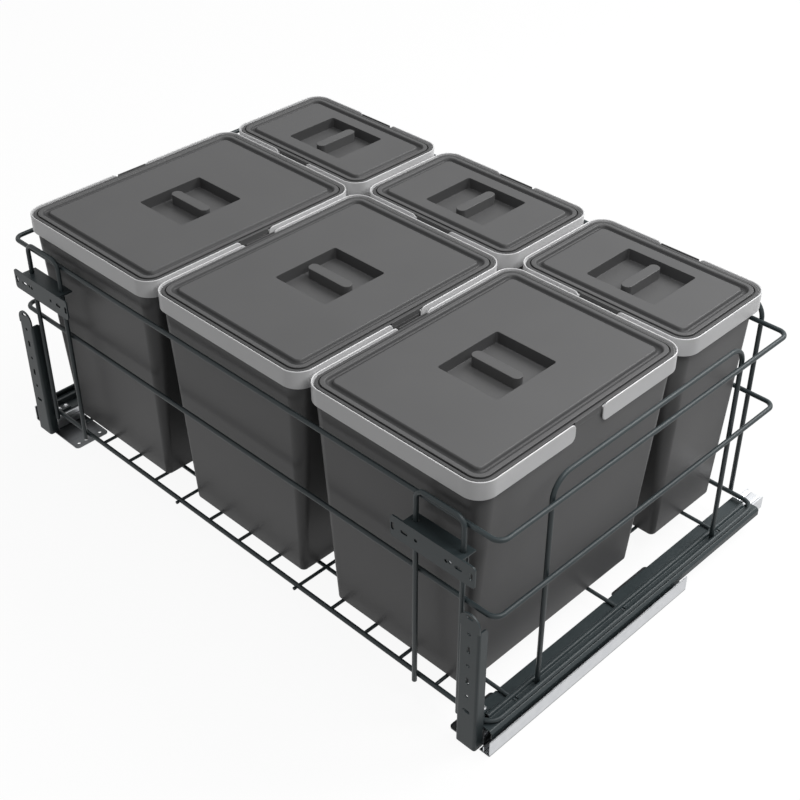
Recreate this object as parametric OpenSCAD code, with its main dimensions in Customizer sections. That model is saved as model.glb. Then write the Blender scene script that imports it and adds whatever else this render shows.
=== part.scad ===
// Pull-out bin frame for a wide base cabinet: a welded wire basket on a pair of
// full-extension floor runners, with six lidded bins and the brackets for a door front.
// +X is the width, -Y the front, +Z up. The origin lies under the middle of the whole
// frame, on the cabinet floor.

/* [Wire rings] */
// Width of the basket between the centres of its side wires
ring_w = 840; // [720:1:1000]
// Depth of the basket between the centres of its front and rear wires
ring_d = 510; // [480:1:620]
// Diameter of the ring and hoop wire
ring_wire_d = 6; // [4:0.5:8]
// Height of the lowest ring's centre above the cabinet floor
low_ring_z = 33; // [32:0.5:40]
// Rise from the lowest ring to the middle ring
mid_ring_rise = 160; // [100:1:200]
// Rise from the lowest ring to the top ring
top_ring_rise = 263; // [200:1:300]
// Corner radius of the lowest ring
low_corner_r = 18; // [12:1:30]
// Corner radius of the two upper rings
high_corner_r = 25; // [15:1:40]

/* [Floor wires] */
// Diameter of the wires that run from front to back
floor_wire_d = 4.4; // [3:0.1:6]
// Distance between neighbouring floor wires
floor_wire_pitch = 56.2; // [40:0.1:60]
// Number of floor wires
floor_wire_count = 13; // [7:2:13]
// Diameter of the cross wires under the floor wires
cross_wire_d = 5; // [4:0.1:5.4]
// Distance from the front wire to the first cross wire
cross_wire_first = 50; // [40:1:80]
// Distance from the last cross wire to the rear wire
cross_wire_last = 72; // [40:1:120]
// Length of the locating stubs in front of the front wire
stub_reach = 4; // [2:0.5:8]

/* [Hoops] */
// Rise of the side and rear hoops' top bar above the top ring
side_hoop_over = 25; // [17:0.5:60]
// Distance from the front wire to a side hoop's front leg
side_hoop_first = 85.5; // [60:0.5:120]
// Distance from a side hoop's rear leg to the rear wire
side_hoop_last = 87.5; // [60:0.5:120]
// Distance from the side wires to the rear hoop's legs
rear_hoop_inset = 40; // [30:1:160]
// Bend radius of the side and rear hoops
hoop_bend_r = 25; // [12:1:40]
// Rise of the front hoops' top bar above the top ring
front_hoop_over = 10.5; // [7:0.5:50]
// Distance between the two legs of a front hoop
front_hoop_span = 66; // [50:1:90]
// Distance from the side wires to a front hoop's outer leg
front_hoop_set = 41.5; // [35:0.5:90]
// Bend radius of the front hoops
front_hoop_bend_r = 12; // [8:1:16]

/* [Side profiles] */
// Sheet thickness of the side profiles
profile_t = 1.5; // [1:0.1:2]
// Inner radius of the folds in the side profiles, rails and brackets
fold_r = 1; // [0.3:0.1:1]
// Distance from the side wire's centre to the inner edge
profile_inner_reach = 33; // [28:0.5:40]
// Distance from the side wire's centre to the outer edge
profile_outer_reach = 6; // [5:0.5:8]
// Height of the stiffening ridge above the inner flat
ridge_h = 7; // [5:0.1:8]
// Width of the ridge along its top
ridge_w = 4.5; // [3:0.1:6]
// Depth of the turned-down outer lip below the wire groove
lip_drop = 11; // [8:0.5:14]

/* [Runners] */
// Thickness of the runner sheet
rail_t = 1.5; // [1:0.1:2]
// Length of the cabinet rails
cabinet_rail_l = 360; // [330:1:400]
// Distance that the cabinet rails start in front of the front wire
cabinet_rail_lead = 11; // [5:1:14]
// Height of the cabinet rail's outer wall
outer_wall_h = 23; // [18:0.5:24]
// Height of the two walls that guide the middle rail
guide_wall_h = 14; // [10:0.5:14.5]
// Inside width between the guide walls
race_w = 26; // [22:0.5:28]
// Side clearance of the middle rail between the guide walls
middle_rail_gap = 1; // [0.5:0.1:3]
// Distance that the middle rails start behind the front wire
middle_rail_set = 30; // [20:1:60]
// Distance that the middle rails end behind the rear wire
middle_rail_tail = 35; // [20:1:60]
// Diameter of the bearing balls
ball_d = 5; // [4:0.1:5.5]
// Pull-out travel of the basket
travel = 450; // [300:1:455]

/* [Door brackets] */
// Distance from the front wire's centre to the door plane
door_gap = 17.5; // [16:0.1:24]
// Sheet thickness of the brackets
bracket_t = 2; // [1.5:0.1:3]
// Height of the lower brackets
low_bracket_h = 199; // [150:1:230]
// Width of the lower brackets
low_bracket_w = 28.2; // [24:0.1:36]
// Distance from the side wires to a lower bracket's centre
low_bracket_set = 20.3; // [18:0.1:26]
// Width of an upper bracket
high_bracket_w = 117.4; // [100:0.1:130]
// Height of an upper bracket
high_bracket_h = 28; // [20:0.5:40]
// Distance from the top ring down to an upper bracket's lower edge
high_bracket_drop = 60; // [45:1:75]
// Distance from a front hoop's outer leg to an upper bracket's outer edge
high_bracket_reach = 25.7; // [22:0.1:32]
// Width of the door screw slots
slot_w = 4.4; // [3.5:0.1:6]
// End to end length of the door screw slots
slot_l = 10; // [7:0.5:12]

/* [Bins] */
// Gap between the side wires and the large rims next to them
bin_side_gap = 27.2; // [20:0.1:60]
// Gap between the large rims of neighbouring columns
bin_column_gap = 7.3; // [3:0.1:20]
// Gap between the large rims and the small rims behind them
bin_row_gap = 6; // [3:0.5:20]
// Amount by which the small rims are narrower than the large ones
small_rim_less_w = 5; // [0:0.5:20]
// Outside depth of the rims of the small rear bins
small_rim_d = 164; // [130:0.5:220]
// Rise of the rims' top edge above the top ring
rim_rise = 49; // [42:0.5:70]
// Height of the rim band
rim_h = 23; // [16:0.5:30]
// Thickness of the rim band
rim_t = 2.6; // [2:0.1:3]
// Corner radius of the rims
rim_corner_r = 24; // [18:0.5:32]
// Wall thickness of the bins
bin_t = 2; // [1.5:0.1:3]
// Distance by which each bin wall leans in from top to bottom
bin_taper = 16.5; // [8:0.5:20]
// Length of the gap in the long sides of a large bin's rim
large_gap_l = 45; // [30:1:80]
// Length of the gap in the front and rear of a small bin's rim
small_gap_l = 55; // [30:1:80]

/* [Lids] */
// Thickness of the lids
lid_t = 3.5; // [2.5:0.1:4]
// Distance from a lid's edge to its shallow groove
groove_inset = 12; // [8:0.5:16]
// Width of the shallow groove
groove_w = 10; // [6:0.5:12]
// Depth of the shallow groove
groove_depth = 1.6; // [0.6:0.1:2.4]
// Depth of the grip recess below the lid's top
recess_depth = 14; // [10:0.5:18]
// Width of the grip bar
grip_w = 14; // [8:0.5:18]

/* [Hidden] */

$fn = 32;
wire_fn = 24;
overrun = 10;
weld_gap = 0.1;
seat_gap = 0.1;
slide_gap = 0.5;
bracket_clearance = 0.6;

frame_colour = [0.23, 0.26, 0.27];
zinc_colour = [0.78, 0.79, 0.80];
bin_colour = [0.34, 0.34, 0.34];
lid_colour = [0.41, 0.41, 0.41];
rim_colour = [0.66, 0.66, 0.66];
cage_colour = [0.20, 0.30, 0.24];

// Places along the depth: the whole frame, from door plane to rail tail, is centred on Y = 0
front_y = -(ring_d + middle_rail_tail - door_gap) / 2;
rear_y = front_y + ring_d;
door_y = front_y - door_gap;
side_x = ring_w / 2;
wire_r = ring_wire_d / 2;
side_hoop_span = ring_d - side_hoop_first - side_hoop_last;
rear_hoop_span = ring_w - 2 * rear_hoop_inset;
front_hoop_outer_x = side_x - front_hoop_set;
wire_step = ring_wire_d + weld_gap;
mid_ring_z = low_ring_z + mid_ring_rise;
top_ring_z = low_ring_z + top_ring_rise;
side_hoop_z = top_ring_z + side_hoop_over;
front_hoop_z = top_ring_z + front_hoop_over;
foot_z = low_ring_z - wire_r - weld_gap;

// The floor wires end against the ring's front and rear wires, just below its centre
floor_wire_drop = 0.7;
floor_wire_z = low_ring_z - floor_wire_drop;
floor_top_z = floor_wire_z + floor_wire_d / 2;
cross_wire_z = floor_wire_z - floor_wire_d / 2 - cross_wire_d / 2 - weld_gap;
cross_wire_count = 3;
cross_wire_pitch = (ring_d - cross_wire_first - cross_wire_last) / (cross_wire_count - 1);
cross_wire_ys = [for (i = [0:cross_wire_count - 1]) front_y + cross_wire_first + i * cross_wire_pitch];
cross_wire_reach = 1;
stub_step = 2;

// Side profile: an open section pressed from one sheet, whose ridge runs inside the side wire.
// It lies on the drawer rail, which clears the cross wires.
cross_wire_clearance = 0.5;
rail_top_z = cross_wire_z - cross_wire_d / 2 - cross_wire_clearance;
profile_flat_z = rail_top_z + profile_t;
profile_tail = 2;
fold_steps = 3;
profile_inner_x = side_x - profile_inner_reach;
profile_outer_x = side_x + profile_outer_reach;
profile_slope = 2;
groove_x = side_x - wire_step - wire_r - weld_gap;
ridge_outer_x = groove_x - profile_slope;
ridge_inner_x = ridge_outer_x - ridge_w - profile_slope;
ridge_z = profile_flat_z + ridge_h;
profile_front_y = front_y - wire_r - bracket_clearance;
profile_rear_y = rear_y + profile_tail;
notch_clearance = 0.4;
ring_notch_depth = high_corner_r - low_corner_r + wire_r;

// Runner stack from the cabinet floor up: base sheet, balls, middle rail, balls, drawer rail
ball_play = 0.15;
groove_sink = 0.4;
race_gap = ball_d + 2 * ball_play - 2 * groove_sink;
middle_rail_w = race_w - 2 * middle_rail_gap;
race_set = 0.5;
race_x = profile_inner_x + race_set + race_w / 2;
ball_offset = race_w / 4;
low_ball_z = rail_t + race_gap / 2;
high_ball_z = rail_top_z - rail_t - race_gap / 2;
middle_low_z = rail_t + race_gap;
middle_high_z = rail_top_z - rail_t - race_gap;
lip_clearance = 1.35;
middle_lip = race_gap - lip_clearance;
cage_t = 1;
cage_side_gap = 0.4;
cabinet_y0 = front_y - cabinet_rail_lead;
cabinet_y1 = cabinet_y0 + cabinet_rail_l;
middle_y0 = front_y + middle_rail_set;
middle_y1 = rear_y + middle_rail_tail;
drawer_lead = 3;
drawer_y0 = front_y - drawer_lead;
drawer_y1 = profile_rear_y;
outer_leg_h = 9;
outer_leg_gap = 7;
rail_outer_reach = 11;
rail_outer_x = side_x + rail_outer_reach;

// Ball cages. Over the pull-out travel a cage moves by a quarter of it along each of its two
// rails, so it starts that far from one rail's front end or the other one's rear end.
cage_end_gap = 10;
low_cage_y0 = cabinet_y0 + travel / 4 + cage_end_gap;
low_cage_y1 = cabinet_y1 - cage_end_gap;
high_cage_y0 = middle_y0 + travel / 4 + cage_end_gap;
high_cage_y1 = drawer_y1 - travel / 4 - cage_end_gap;
ball_pitch = 36;

// Fixing flanges of the cabinet rails: [reach inwards from the guide wall, start, end]
flange_l = 71;
flange_reach = 16;
wide_flange_reach = 54;
wide_flange_l = 53;
flange_hole_d = 4.6;
flange_hole_count = 4;
flange_hole_inset = 9;
flange_corner_r = 5;

// Lower brackets
low_bracket_x = side_x - low_bracket_set;
low_bracket_flange = door_gap - wire_r - 2 * bracket_clearance;
ear_drop = 19;
flange_top_r = 5;
low_hole_pitch = 23.2;
low_hole_count = 7;
low_hole_drop = 5;
low_hole_zs = [for (i = [0:low_hole_count - 1]) low_bracket_h - low_hole_drop - low_hole_pitch * i];
foot_plate_l = 22;
foot_plate_edge = 1.65;
foot_plate_w = ridge_inner_x - profile_inner_x - 2 * foot_plate_edge;
rivet_d = 4;
rivet_head_d = 7;
rivet_head_h = 1.4;
rivet_pitch = 11;
rivet_edge = 1;

// Upper brackets
high_bracket_z = top_ring_z - high_bracket_drop;
high_bracket_outer_x = front_hoop_outer_x + high_bracket_reach;
high_bracket_inner_x = high_bracket_outer_x - high_bracket_w;
shelf_tail = 4;
shelf_d = door_gap + shelf_tail;
shelf_inner_margin = 8.7;
shelf_outer_margin = 7.7;
plate_corner_r = 4;
high_hole_shares = [0.03, 0.17, 0.31, 0.67, 0.81, 0.955];
leg_clearance = 0.5;
screw_d = 4;
screw_head_d = 7.6;
screw_head_h = 2.6;
cross_recess_w = 1;
cross_recess_share = 0.7;
clamp_h = 16;
clamp_t = 2;
clamp_block_w = 9;
clamp_drop = 3;

// Bins, rims and lids
bin_columns = 3;
bin_base_z = floor_top_z + seat_gap;
rim_top_z = top_ring_z + rim_rise;
rim_low_z = rim_top_z - rim_h;
ledge_t = 3;
ledge_w = 9;
lid_sink = 0.5;
lid_top_z = rim_top_z - lid_sink;
lid_low_z = lid_top_z - lid_t;
ledge_top_z = lid_low_z - seat_gap;
ledge_low_z = ledge_top_z - ledge_t;
bin_top_z = ledge_low_z - seat_gap;
rim_overhang = 4;
bin_corner_r = rim_corner_r - rim_overhang;
base_corner_r = 11;
lid_gap = 0.6;
gap_corner_r = 7.5;
strip_clearance = 0.5;
hull_slab = 0.1;
recess_t = 2;
large_recess = [85.5, 97];
small_recess = [98, 83];
grip_end_gap = 8.3;
groove_outer_r = 11;
groove_inner_r = 5.5;
rim_front_set = 2.5;
rim_rear_set = 0.5;
large_rim_w = (ring_w - ring_wire_d - 2 * bin_side_gap - (bin_columns - 1) * bin_column_gap) / bin_columns;
large_rim_d = ring_d - rim_front_set - bin_row_gap - small_rim_d - rim_rear_set;
bin_pitch = large_rim_w + bin_column_gap;
large_y = front_y + rim_front_set + large_rim_d / 2;
small_y = rear_y - rim_rear_set - small_rim_d / 2;
large_sides = [large_rim_w, large_rim_d];
small_sides = [large_rim_w - small_rim_less_w, small_rim_d];

// Outline of a folded sheet: the given line on one side, and the same line t to its left.
// Both are rounded at each fold about one centre.
function unit(v) = v / norm(v);
function left_of(v) = [-v.y, v.x];
function turned(v, angle) = [v.x * cos(angle) - v.y * sin(angle), v.x * sin(angle) + v.y * cos(angle)];
function fold(line, i, t, away) =
    let (u = unit(line[i] - line[i - 1]),
         v = unit(line[i + 1] - line[i]),
         way = sign(cross(u, v)),
         angle = acos(u * v),
         r = fold_r + max(way * t, 0),
         centre = line[i] - u * r * tan(angle / 2) + way * r * left_of(u))
    [for (k = [0:fold_steps])
        centre + turned(-left_of(u), way * angle * k / fold_steps) * (way * r - away)];
function side_of_sheet(line, t, away) =
    let (last = len(line) - 1)
    concat([line[0] + away * left_of(unit(line[1] - line[0]))],
           [for (i = [1:last - 1]) each fold(line, i, t, away)],
           [line[last] + away * left_of(unit(line[last] - line[last - 1]))]);
function backwards(points) = [for (i = [len(points) - 1:-1:0]) points[i]];
function sheet(line, t) =
    concat(side_of_sheet(line, t, 0), backwards(side_of_sheet(line, t, t)));

// Draws the right-hand piece, or its mirror image for the left-hand side
module on_side(side) {
    if (side > 0) children();
    else mirror([1, 0, 0]) children();
}

// Sections are drawn in X and Z and run from y0 back to y1
module along_y(y0, y1) {
    translate([0, y1, 0]) rotate([90, 0, 0]) linear_extrude(y1 - y0) children();
}

module box_at(low, high) {
    translate(low) cube(high - low);
}

module slot_2d(length, width) {
    square([length - width, width], center = true);
    for (end = [-1, 1]) translate([end * (length - width) / 2, 0]) circle(d = width);
}

module rounded_rect(sides, r) {
    square([sides.x - 2 * r, sides.y], center = true);
    square([sides.x, sides.y - 2 * r], center = true);
    for (sx = [-1, 1], sy = [-1, 1])
        translate([sx * (sides.x / 2 - r), sy * (sides.y / 2 - r)]) circle(r);
}

module wire_x(x0, x1, y, z, d) {
    translate([x0, y, z]) rotate([0, 90, 0]) cylinder(h = x1 - x0, d = d, $fn = wire_fn);
}

module wire_y(y0, y1, x, z, d) {
    translate([x, y1, z]) rotate([90, 0, 0]) cylinder(h = y1 - y0, d = d, $fn = wire_fn);
}

module wire_z(z0, z1, x, y, d) {
    translate([x, y, z0]) cylinder(h = z1 - z0, d = d, $fn = wire_fn);
}

module wire_bend(r, d) {
    rotate_extrude(angle = 90, $fn = 4 * wire_fn) translate([r, 0]) circle(d = d, $fn = wire_fn);
}

// Closed rectangular ring of wire with rounded corners
module wire_ring(z, r) {
    for (y = [front_y, rear_y]) wire_x(-side_x + r, side_x - r, y, z, ring_wire_d);
    for (x = [-side_x, side_x]) wire_y(front_y + r, rear_y - r, x, z, ring_wire_d);
    for (sx = [0, 1], sy = [0, 1])
        translate([sx ? side_x - r : r - side_x, sy ? rear_y - r : front_y + r, z])
            mirror([1 - sx, 0, 0]) mirror([0, 1 - sy, 0]) wire_bend(r, ring_wire_d);
}

// Upside-down U of wire across X, with its legs standing at z0
module wire_hoop(span, z0, z1, r) {
    for (side = [-1, 1]) wire_z(z0, z1 - r, side * span / 2, 0, ring_wire_d);
    wire_x(r - span / 2, span / 2 - r, 0, z1, ring_wire_d);
    for (side = [0, 1])
        mirror([side, 0, 0]) translate([span / 2 - r, 0, z1 - r]) rotate([90, 0, 0])
            wire_bend(r, ring_wire_d);
}

// Cabinet rail: floor sheet with ball grooves, two guide walls, a J-shaped outer wall and
// flat fixing flanges. The left rail's front flange is wide and has a row of holes. Only the
// outer wall reaches forward past the lower bracket.
module rail_grooves(z) {
    for (side = [-1, 1])
        translate([race_x + side * ball_offset, z]) circle(d = ball_d + 2 * ball_play);
}

module cabinet_section() {
    inner = race_x - race_w / 2;
    outer = race_x + race_w / 2;
    difference() {
        union() {
            polygon(sheet([[inner - rail_t, guide_wall_h], [inner - rail_t, 0], [rail_outer_x, 0],
                           [rail_outer_x, outer_wall_h]], rail_t));
            translate([outer, 0]) square([rail_t, guide_wall_h]);
            translate([outer + outer_leg_gap, 0]) square([rail_t, outer_leg_h]);
        }
        rail_grooves(low_ball_z);
    }
}

module flange(reach, y0, length) {
    edge_x = race_x - race_w / 2;
    tip_x = edge_x - rail_t - reach;
    linear_extrude(rail_t) {
        translate([tip_x + flange_corner_r, y0]) square([edge_x - tip_x - flange_corner_r, length]);
        translate([tip_x, y0 + flange_corner_r])
            square([flange_corner_r, length - 2 * flange_corner_r]);
        for (y = [y0 + flange_corner_r, y0 + length - flange_corner_r])
            translate([tip_x + flange_corner_r, y]) circle(flange_corner_r);
    }
}

module flange_holes(reach, y0, length, count) {
    pitch = count > 1 ? (length - 2 * flange_hole_inset) / (count - 1) : 0;
    hole_x = race_x - race_w / 2 - rail_t - reach + flange_hole_inset;
    for (i = [0:count - 1])
        translate([hole_x, y0 + flange_hole_inset + i * pitch, -overrun])
            cylinder(h = 2 * overrun, d = flange_hole_d);
}

module cabinet_rail(front_reach, front_l, front_holes) {
    difference() {
        union() {
            along_y(cabinet_y0, cabinet_y1) cabinet_section();
            flange(front_reach, cabinet_y0, front_l);
            flange(flange_reach, cabinet_y1 - flange_l, flange_l);
        }
        box_at([low_bracket_x - low_bracket_w / 2 - bracket_clearance, cabinet_y0 - overrun, -overrun],
               [race_x + race_w / 2 + rail_t + bracket_clearance,
                door_y + low_bracket_flange + bracket_clearance, outer_wall_h + overrun]);
        flange_holes(front_reach, cabinet_y0, front_l, front_holes);
        flange_holes(flange_reach, cabinet_y1 - flange_l, flange_l, 2);
    }
}

// Middle rail: a shallow box whose side walls run past it and hold both rows of balls
module middle_section() {
    half = middle_rail_w / 2;
    difference() {
        union() {
            for (side = [-1, 1])
                translate([race_x + side * (half - rail_t / 2), (middle_low_z + middle_high_z) / 2])
                    square([rail_t, middle_high_z - middle_low_z + 2 * middle_lip], center = true);
            translate([race_x - half, middle_low_z]) square([middle_rail_w, rail_t]);
            translate([race_x - half, middle_high_z - rail_t]) square([middle_rail_w, rail_t]);
        }
        rail_grooves(low_ball_z);
        rail_grooves(high_ball_z);
    }
}

module middle_rail() {
    along_y(middle_y0, middle_y1) middle_section();
}

// Drawer rail: an upside-down channel over the middle rail, carried by the upper balls
module drawer_rail() {
    inner = race_x - race_w / 2 - rail_t;
    outer = race_x + race_w / 2 + rail_t;
    skirt_z = guide_wall_h + slide_gap * 2;
    along_y(drawer_y0, drawer_y1) difference() {
        polygon(sheet([[outer, skirt_z], [outer, rail_top_z], [inner, rail_top_z],
                       [inner, skirt_z]], rail_t));
        rail_grooves(high_ball_z);
    }
}

function ball_rows(length) = floor((length - ball_pitch / 2) / ball_pitch);

module ball_places(y0, y1) {
    rows = ball_rows(y1 - y0);
    for (i = [0:rows - 1], side = [-1, 1])
        translate([race_x + side * ball_offset, (y0 + y1) / 2 + (i - (rows - 1) / 2) * ball_pitch, 0])
            children();
}

module ball_cage(y0, y1, z) {
    cage_w = middle_rail_w - 2 * (rail_t + cage_side_gap);
    difference() {
        box_at([race_x - cage_w / 2, y0, z - cage_t / 2], [race_x + cage_w / 2, y1, z + cage_t / 2]);
        ball_places(y0, y1)
            translate([0, 0, z - overrun]) cylinder(h = 2 * overrun, d = ball_d + 2 * ball_play);
    }
}

module balls(y0, y1, z) {
    ball_places(y0, y1) translate([0, 0, z]) sphere(d = ball_d);
}

// Side profile: ridge, wire groove and outer lip pressed from one strip. It is notched where
// the cross wires pass through and where the ring's corners cross the ridge.
module profile_section() {
    shoulder = profile_outer_reach / 2;
    polygon(sheet([
        [profile_inner_x, profile_flat_z],
        [ridge_inner_x, profile_flat_z],
        [ridge_inner_x + profile_slope, ridge_z],
        [ridge_outer_x, ridge_z],
        [groove_x, foot_z],
        [profile_outer_x - shoulder, foot_z],
        [profile_outer_x, foot_z - shoulder],
        [profile_outer_x, foot_z - lip_drop]], -profile_t));
}

module side_profile() {
    cut_w = cross_wire_d + 2 * notch_clearance;
    difference() {
        along_y(profile_front_y, profile_rear_y) profile_section();
        for (y = cross_wire_ys)
            box_at([profile_inner_x - overrun, y - cut_w / 2, cross_wire_z - cross_wire_d - overrun],
                   [side_x + cross_wire_reach + notch_clearance, y + cut_w / 2,
                    cross_wire_z + cross_wire_d / 2 + notch_clearance]);
        for (ends = [[profile_front_y - overrun, front_y + ring_notch_depth],
                     [rear_y - ring_notch_depth, profile_rear_y + overrun]])
            box_at([profile_inner_x - overrun, ends[0], foot_z],
                   [profile_outer_x + overrun, ends[1], ridge_z + overrun]);
    }
}

// Floor wires, with stubs in front of the ring that locate the basket on the cabinet front
module floor_wires() {
    half = (floor_wire_count - 1) / 2;
    for (i = [-half:half])
        wire_y(front_y + wire_r + weld_gap, rear_y - wire_r - weld_gap, i * floor_wire_pitch,
               floor_wire_z, floor_wire_d);
    for (i = [-stub_step, stub_step])
        wire_y(front_y - wire_r - weld_gap - stub_reach, front_y - wire_r - weld_gap,
               i * floor_wire_pitch, floor_wire_z, floor_wire_d);
}

module cross_wires() {
    reach = side_x + cross_wire_reach;
    for (y = cross_wire_ys) wire_x(-reach, reach, y, cross_wire_z, cross_wire_d);
}

module side_hoop() {
    translate([side_x - wire_step, front_y + side_hoop_first + side_hoop_span / 2, 0])
        rotate([0, 0, 90])
            wire_hoop(side_hoop_span, foot_z + weld_gap, side_hoop_z, hoop_bend_r);
}

module front_hoop() {
    translate([front_hoop_outer_x - front_hoop_span / 2, front_y - wire_step, 0])
        wire_hoop(front_hoop_span, foot_z - wire_r, front_hoop_z, front_hoop_bend_r);
}

// Lower bracket: a pressed channel with a rounded ear, a row of door screw holes and a foot
// that lies on the side profile's inner flat
module low_bracket_holes() {
    last = len(low_hole_zs) - 1;
    for (i = [0:last])
        translate([0, low_hole_zs[i]])
            if (i % 2 == 1) circle(d = slot_w);
            else rotate(i == 0 || i == last ? 0 : 90) slot_2d(slot_l, slot_w);
}

module low_bracket_web() {
    half = low_bracket_w / 2;
    translate([-half, 0]) square([low_bracket_w, low_bracket_h - half]);
    translate([0, low_bracket_h - half]) circle(half);
}

module low_bracket_channel(height) {
    x0 = low_bracket_x - low_bracket_w / 2;
    x1 = low_bracket_x + low_bracket_w / 2;
    rear = door_y + low_bracket_flange;
    difference() {
        linear_extrude(height)
            polygon(sheet([[x0, rear], [x0, door_y], [x1, door_y], [x1, rear]], bracket_t));
        translate([x0 - overrun, rear - flange_top_r, height - flange_top_r]) rotate([90, 0, 90])
            linear_extrude(low_bracket_w + 2 * overrun) difference() {
                square(flange_top_r + overrun);
                circle(flange_top_r);
            }
    }
}

module lower_bracket() {
    half = low_bracket_w / 2;
    channel_h = low_bracket_h - ear_drop;
    foot_x0 = profile_inner_x + foot_plate_edge;
    foot_top = profile_flat_z + seat_gap + bracket_t;
    difference() {
        union() {
            low_bracket_channel(channel_h);
            translate([low_bracket_x, door_y + bracket_t, 0]) rotate([90, 0, 0])
                linear_extrude(bracket_t) intersection() {
                    low_bracket_web();
                    translate([-half, channel_h - bracket_t]) square([low_bracket_w, low_bracket_h]);
                }
            box_at([foot_x0, door_y + bracket_t / 2, foot_top - bracket_t],
                   [foot_x0 + foot_plate_w, front_y + foot_plate_l, foot_top]);
        }
        translate([low_bracket_x, door_y + overrun, 0]) rotate([90, 0, 0])
            linear_extrude(2 * overrun) low_bracket_holes();
        rivet_places() translate([0, 0, -overrun]) cylinder(h = 2 * overrun, d = rivet_d + 2 * seat_gap);
    }
}

module rivet_places() {
    x = (profile_inner_x + ridge_inner_x) / 2;
    for (i = [0, 1])
        translate([x, front_y + foot_plate_l - rivet_head_d / 2 - rivet_edge - i * rivet_pitch,
                   profile_flat_z + seat_gap + bracket_t]) children();
}

module rivet() {
    translate([0, 0, -bracket_t]) cylinder(h = bracket_t + seat_gap, d = rivet_d);
    translate([0, 0, seat_gap]) cylinder(h = rivet_head_h, d1 = rivet_head_d, d2 = rivet_d);
}

module bracket_rivets() {
    for (side = [-1, 1]) on_side(side) rivet_places() rivet();
}

// Upper bracket: a slotted plate with a shelf turned back round the front hoop's legs
module high_bracket_holes() {
    for (i = [0:len(high_hole_shares) - 1])
        translate([high_bracket_inner_x + high_hole_shares[i] * high_bracket_w,
                   high_bracket_z + high_bracket_h / 2])
            if (i == 2 || i == 3) circle(d = slot_w);
            else rotate(i == 0 || i == 5 ? 90 : 0) slot_2d(slot_l, slot_w);
}

module upper_bracket() {
    mid_x = (high_bracket_inner_x + high_bracket_outer_x) / 2;
    shelf_z = high_bracket_z + high_bracket_h - bracket_t;
    difference() {
        union() {
            translate([mid_x, door_y + bracket_t, high_bracket_z + high_bracket_h / 2])
                rotate([90, 0, 0]) linear_extrude(bracket_t)
                    rounded_rect([high_bracket_w, high_bracket_h], plate_corner_r);
            box_at([front_hoop_outer_x - front_hoop_span - shelf_inner_margin, door_y + bracket_t / 2,
                    shelf_z],
                   [front_hoop_outer_x + shelf_outer_margin, door_y + shelf_d, shelf_z + bracket_t]);
        }
        translate([0, door_y + overrun, 0]) rotate([90, 0, 0])
            linear_extrude(2 * overrun) high_bracket_holes();
        for (x = [front_hoop_outer_x - front_hoop_span, front_hoop_outer_x])
            translate([x, front_y - wire_step, shelf_z - overrun])
                cylinder(h = 2 * overrun + bracket_t, r = wire_r + leg_clearance);
        translate([clamp_screw_x, door_y + overrun, clamp_z]) rotate([90, 0, 0])
            cylinder(h = 2 * overrun, d = screw_d + 2 * seat_gap);
    }
}

// Clamp plate behind the outer leg, pulled against the bracket by one screw
clamp_z = high_bracket_z + high_bracket_h - bracket_t - clamp_drop - clamp_h / 2;
clamp_screw_x = front_hoop_outer_x - wire_r - clamp_block_w / 2 - leg_clearance;
clamp_rear_y = front_y - wire_step + wire_r + seat_gap;

module clamp_plate() {
    x0 = front_hoop_outer_x - wire_r - leg_clearance - clamp_block_w;
    difference() {
        union() {
            box_at([x0, door_y + bracket_t + seat_gap, clamp_z - clamp_h / 2],
                   [x0 + clamp_block_w, clamp_rear_y + clamp_t, clamp_z + clamp_h / 2]);
            box_at([x0, clamp_rear_y, clamp_z - clamp_h / 2],
                   [front_hoop_outer_x + wire_r, clamp_rear_y + clamp_t, clamp_z + clamp_h / 2]);
        }
        translate([clamp_screw_x, door_y + overrun * 4, clamp_z]) rotate([90, 0, 0])
            cylinder(h = 8 * overrun, d = screw_d + 2 * seat_gap);
    }
}

module clamp_screw() {
    head_y = clamp_rear_y + clamp_t + seat_gap;
    translate([clamp_screw_x, head_y, clamp_z]) rotate([90, 0, 0])
        cylinder(h = head_y - door_y - bracket_t / 2, d = screw_d);
    translate([clamp_screw_x, head_y + screw_head_h, clamp_z]) rotate([90, 0, 0]) difference() {
        cylinder(h = screw_head_h, d = screw_head_d);
        for (turn = [0, 90])
            rotate(turn)
                cube([screw_head_d * cross_recess_share, cross_recess_w, screw_head_h], center = true);
    }
}

// Bin: a tapered tub with rounded corners. On two sides a block on the wall carries a strip
// that fills the gap in the rim band.
module bin_shape(top, z0, z1, shrink) {
    lean = bin_taper * (z1 - z0) / (bin_top_z - bin_base_z);
    hull() {
        translate([0, 0, z0]) linear_extrude(hull_slab)
            rounded_rect(top - [2, 2] * (lean + shrink), base_corner_r - shrink);
        translate([0, 0, z1 - hull_slab]) linear_extrude(hull_slab)
            rounded_rect(top - [2, 2] * shrink, bin_corner_r - shrink);
    }
}

// Band gap: straight between the rounded ends of the rim band on each side of it
module gap_2d(length) {
    difference() {
        square([length + 2 * gap_corner_r, rim_h], center = true);
        for (side = [-1, 1]) translate([side * (length / 2 + gap_corner_r), 0]) {
            square([2 * gap_corner_r, rim_h - 2 * gap_corner_r], center = true);
            for (end = [-1, 1]) translate([0, end * (rim_h / 2 - gap_corner_r)]) circle(gap_corner_r);
        }
    }
}

// Works on the band's two faces, which lie across X, or across Y if turned
module at_gaps(rim, turned, thickness, inset) {
    reach = (turned ? rim.y : rim.x) / 2 - inset;
    for (side = [0, 1])
        rotate(180 * side + (turned ? 90 : 0)) translate([reach, 0, rim_low_z + rim_h / 2])
            rotate([90, 0, 90]) translate([0, 0, -thickness]) linear_extrude(thickness) children();
}

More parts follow.
